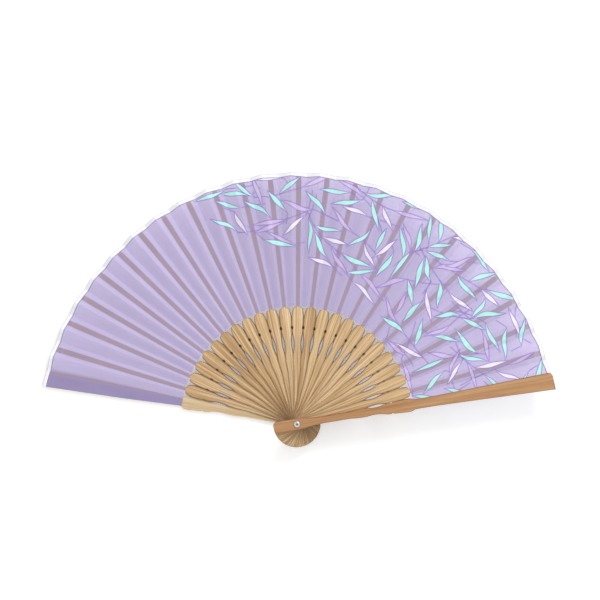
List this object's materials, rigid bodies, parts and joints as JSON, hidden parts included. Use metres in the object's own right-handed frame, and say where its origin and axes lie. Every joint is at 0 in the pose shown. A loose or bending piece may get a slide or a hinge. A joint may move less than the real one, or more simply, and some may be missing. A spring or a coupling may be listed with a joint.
{
  "type": "folding fan",
  "caption": "Folding hand fan: a pleated cloth leaf on bamboo sticks and guards that open and close about one rivet.",
  "frame": {"origin": "on the pivot axis, at the flat underside of the rivet's back head, under the stack of sticks", "axes": "+Z along the pivot from the back guard up to the front guard; +Y along the middle of the open leaf; +X towards the front guard"},
  "size_m": [0.3779, 0.2026, 0.0247],
  "materials": {
    "bamboo_inner": "satin natural bamboo",
    "bamboo_pale": "satin pale bamboo",
    "bamboo_dark": "satin carbonised bamboo",
    "leaf_cloth": "thin lilac cloth with a leaf print and white edge tape",
    "rivet_metal": "bright"
  },
  "bodies": {
    "back_guard": {"back_guard": "bamboo_pale", "leaf_pleat_01": "leaf_cloth", "pivot_rivet": "rivet_metal", "rivet_cap": "rivet_metal"},
    "stick_01": {"stick_01": "bamboo_inner", "leaf_pleat_02": "leaf_cloth"},
    "stick_02": {"stick_02": "bamboo_inner", "leaf_pleat_03": "leaf_cloth"},
    "stick_03": {"stick_03": "bamboo_inner", "leaf_pleat_04": "leaf_cloth"},
    "stick_04": {"stick_04": "bamboo_inner", "leaf_pleat_05": "leaf_cloth"},
    "stick_05": {"stick_05": "bamboo_inner", "leaf_pleat_06": "leaf_cloth"},
    "stick_06": {"stick_06": "bamboo_inner", "leaf_pleat_07": "leaf_cloth"},
    "stick_07": {"stick_07": "bamboo_inner", "leaf_pleat_08": "leaf_cloth"},
    "stick_08": {"stick_08": "bamboo_inner", "leaf_pleat_09": "leaf_cloth"},
    "stick_09": {"stick_09": "bamboo_inner", "leaf_pleat_10": "leaf_cloth"},
    "stick_10": {"stick_10": "bamboo_inner", "leaf_pleat_11": "leaf_cloth"},
    "stick_11": {"stick_11": "bamboo_inner", "leaf_pleat_12": "leaf_cloth"},
    "stick_12": {"stick_12": "bamboo_inner", "leaf_pleat_13": "leaf_cloth"},
    "stick_13": {"stick_13": "bamboo_inner", "leaf_pleat_14": "leaf_cloth"},
    "stick_14": {"stick_14": "bamboo_inner", "leaf_pleat_15": "leaf_cloth"},
    "stick_15": {"stick_15": "bamboo_inner", "leaf_pleat_16": "leaf_cloth"},
    "stick_16": {"stick_16": "bamboo_inner", "leaf_pleat_17": "leaf_cloth"},
    "stick_17": {"stick_17": "bamboo_inner", "leaf_pleat_18": "leaf_cloth"},
    "stick_18": {"stick_18": "bamboo_inner", "leaf_pleat_19": "leaf_cloth"},
    "stick_19": {"stick_19": "bamboo_inner", "leaf_pleat_20": "leaf_cloth"},
    "stick_20": {"stick_20": "bamboo_inner", "leaf_pleat_21": "leaf_cloth"},
    "stick_21": {"stick_21": "bamboo_inner", "leaf_pleat_22": "leaf_cloth"},
    "stick_22": {"stick_22": "bamboo_inner", "leaf_pleat_23": "leaf_cloth"},
    "stick_23": {"stick_23": "bamboo_inner", "leaf_pleat_24": "leaf_cloth"},
    "front_guard": {"front_guard": "bamboo_dark", "leaf_end_flap": "leaf_cloth"}
  },
  "joints": [
    {"name": "stick_01_fold", "type": "hinge", "parent": "back_guard", "child": "stick_01", "pos_m": [0, 0, 0], "axis": [0, 0, 1], "range_deg": [0, 6.67], "deforming": ["leaf_pleat_01"]},
    {"name": "stick_02_fold", "type": "hinge", "parent": "back_guard", "child": "stick_02", "pos_m": [0, 0, 0], "axis": [0, 0, 1], "range_deg": [0, 13.33], "deforming": ["leaf_pleat_02"]},
    {"name": "stick_03_fold", "type": "hinge", "parent": "back_guard", "child": "stick_03", "pos_m": [0, 0, 0], "axis": [0, 0, 1], "range_deg": [0, 20], "deforming": ["leaf_pleat_03"]},
    {"name": "stick_04_fold", "type": "hinge", "parent": "back_guard", "child": "stick_04", "pos_m": [0, 0, 0], "axis": [0, 0, 1], "range_deg": [0, 26.67], "deforming": ["leaf_pleat_04"]},
    {"name": "stick_05_fold", "type": "hinge", "parent": "back_guard", "child": "stick_05", "pos_m": [0, 0, 0], "axis": [0, 0, 1], "range_deg": [0, 33.33], "deforming": ["leaf_pleat_05"]},
    {"name": "stick_06_fold", "type": "hinge", "parent": "back_guard", "child": "stick_06", "pos_m": [0, 0, 0], "axis": [0, 0, 1], "range_deg": [0, 40], "deforming": ["leaf_pleat_06"]},
    {"name": "stick_07_fold", "type": "hinge", "parent": "back_guard", "child": "stick_07", "pos_m": [0, 0, 0], "axis": [0, 0, 1], "range_deg": [0, 46.67], "deforming": ["leaf_pleat_07"]},
    {"name": "stick_08_fold", "type": "hinge", "parent": "back_guard", "child": "stick_08", "pos_m": [0, 0, 0], "axis": [0, 0, 1], "range_deg": [0, 53.33], "deforming": ["leaf_pleat_08"]},
    {"name": "stick_09_fold", "type": "hinge", "parent": "back_guard", "child": "stick_09", "pos_m": [0, 0, 0], "axis": [0, 0, 1], "range_deg": [0, 60], "deforming": ["leaf_pleat_09"]},
    {"name": "stick_10_fold", "type": "hinge", "parent": "back_guard", "child": "stick_10", "pos_m": [0, 0, 0], "axis": [0, 0, 1], "range_deg": [0, 66.67], "deforming": ["leaf_pleat_10"]},
    {"name": "stick_11_fold", "type": "hinge", "parent": "back_guard", "child": "stick_11", "pos_m": [0, 0, 0], "axis": [0, 0, 1], "range_deg": [0, 73.33], "deforming": ["leaf_pleat_11"]},
    {"name": "stick_12_fold", "type": "hinge", "parent": "back_guard", "child": "stick_12", "pos_m": [0, 0, 0], "axis": [0, 0, 1], "range_deg": [0, 80], "deforming": ["leaf_pleat_12"]},
    {"name": "stick_13_fold", "type": "hinge", "parent": "back_guard", "child": "stick_13", "pos_m": [0, 0, 0], "axis": [0, 0, 1], "range_deg": [0, 86.67], "deforming": ["leaf_pleat_13"]},
    {"name": "stick_14_fold", "type": "hinge", "parent": "back_guard", "child": "stick_14", "pos_m": [0, 0, 0], "axis": [0, 0, 1], "range_deg": [0, 93.33], "deforming": ["leaf_pleat_14"]},
    {"name": "stick_15_fold", "type": "hinge", "parent": "back_guard", "child": "stick_15", "pos_m": [0, 0, 0], "axis": [0, 0, 1], "range_deg": [0, 100], "deforming": ["leaf_pleat_15"]},
    {"name": "stick_16_fold", "type": "hinge", "parent": "back_guard", "child": "stick_16", "pos_m": [0, 0, 0], "axis": [0, 0, 1], "range_deg": [0, 106.67], "deforming": ["leaf_pleat_16"]},
    {"name": "stick_17_fold", "type": "hinge", "parent": "back_guard", "child": "stick_17", "pos_m": [0, 0, 0], "axis": [0, 0, 1], "range_deg": [0, 113.33], "deforming": ["leaf_pleat_17"]},
    {"name": "stick_18_fold", "type": "hinge", "parent": "back_guard", "child": "stick_18", "pos_m": [0, 0, 0], "axis": [0, 0, 1], "range_deg": [0, 120], "deforming": ["leaf_pleat_18"]},
    {"name": "stick_19_fold", "type": "hinge", "parent": "back_guard", "child": "stick_19", "pos_m": [0, 0, 0], "axis": [0, 0, 1], "range_deg": [0, 126.67], "deforming": ["leaf_pleat_19"]},
    {"name": "stick_20_fold", "type": "hinge", "parent": "back_guard", "child": "stick_20", "pos_m": [0, 0, 0], "axis": [0, 0, 1], "range_deg": [0, 133.33], "deforming": ["leaf_pleat_20"]},
    {"name": "stick_21_fold", "type": "hinge", "parent": "back_guard", "child": "stick_21", "pos_m": [0, 0, 0], "axis": [0, 0, 1], "range_deg": [0, 140], "deforming": ["leaf_pleat_21"]},
    {"name": "stick_22_fold", "type": "hinge", "parent": "back_guard", "child": "stick_22", "pos_m": [0, 0, 0], "axis": [0, 0, 1], "range_deg": [0, 146.67], "deforming": ["leaf_pleat_22"]},
    {"name": "stick_23_fold", "type": "hinge", "parent": "back_guard", "child": "stick_23", "pos_m": [0, 0, 0], "axis": [0, 0, 1], "range_deg": [0, 153.33], "deforming": ["leaf_pleat_23"]},
    {"name": "front_guard_fold", "type": "hinge", "parent": "back_guard", "child": "front_guard", "pos_m": [0, 0, 0], "axis": [0, 0, 1], "range_deg": [0, 160], "deforming": ["leaf_pleat_24"]}
  ],
  "couplings": [
    {"joint": "stick_01_fold", "follows": "front_guard_fold", "ratio": 0.041666},
    {"joint": "stick_02_fold", "follows": "front_guard_fold", "ratio": 0.083333},
    {"joint": "stick_03_fold", "follows": "front_guard_fold", "ratio": 0.125},
    {"joint": "stick_04_fold", "follows": "front_guard_fold", "ratio": 0.16667},
    {"joint": "stick_05_fold", "follows": "front_guard_fold", "ratio": 0.20833},
    {"joint": "stick_06_fold", "follows": "front_guard_fold", "ratio": 0.25},
    {"joint": "stick_07_fold", "follows": "front_guard_fold", "ratio": 0.29167},
    {"joint": "stick_08_fold", "follows": "front_guard_fold", "ratio": 0.33333},
    {"joint": "stick_09_fold", "follows": "front_guard_fold", "ratio": 0.375},
    {"joint": "stick_10_fold", "follows": "front_guard_fold", "ratio": 0.41667},
    {"joint": "stick_11_fold", "follows": "front_guard_fold", "ratio": 0.45833},
    {"joint": "stick_12_fold", "follows": "front_guard_fold", "ratio": 0.5},
    {"joint": "stick_13_fold", "follows": "front_guard_fold", "ratio": 0.54167},
    {"joint": "stick_14_fold", "follows": "front_guard_fold", "ratio": 0.58333},
    {"joint": "stick_15_fold", "follows": "front_guard_fold", "ratio": 0.625},
    {"joint": "stick_16_fold", "follows": "front_guard_fold", "ratio": 0.66667},
    {"joint": "stick_17_fold", "follows": "front_guard_fold", "ratio": 0.70833},
    {"joint": "stick_18_fold", "follows": "front_guard_fold", "ratio": 0.75},
    {"joint": "stick_19_fold", "follows": "front_guard_fold", "ratio": 0.79167},
    {"joint": "stick_20_fold", "follows": "front_guard_fold", "ratio": 0.83333},
    {"joint": "stick_21_fold", "follows": "front_guard_fold", "ratio": 0.875},
    {"joint": "stick_22_fold", "follows": "front_guard_fold", "ratio": 0.91667},
    {"joint": "stick_23_fold", "follows": "front_guard_fold", "ratio": 0.95833}
  ]
}
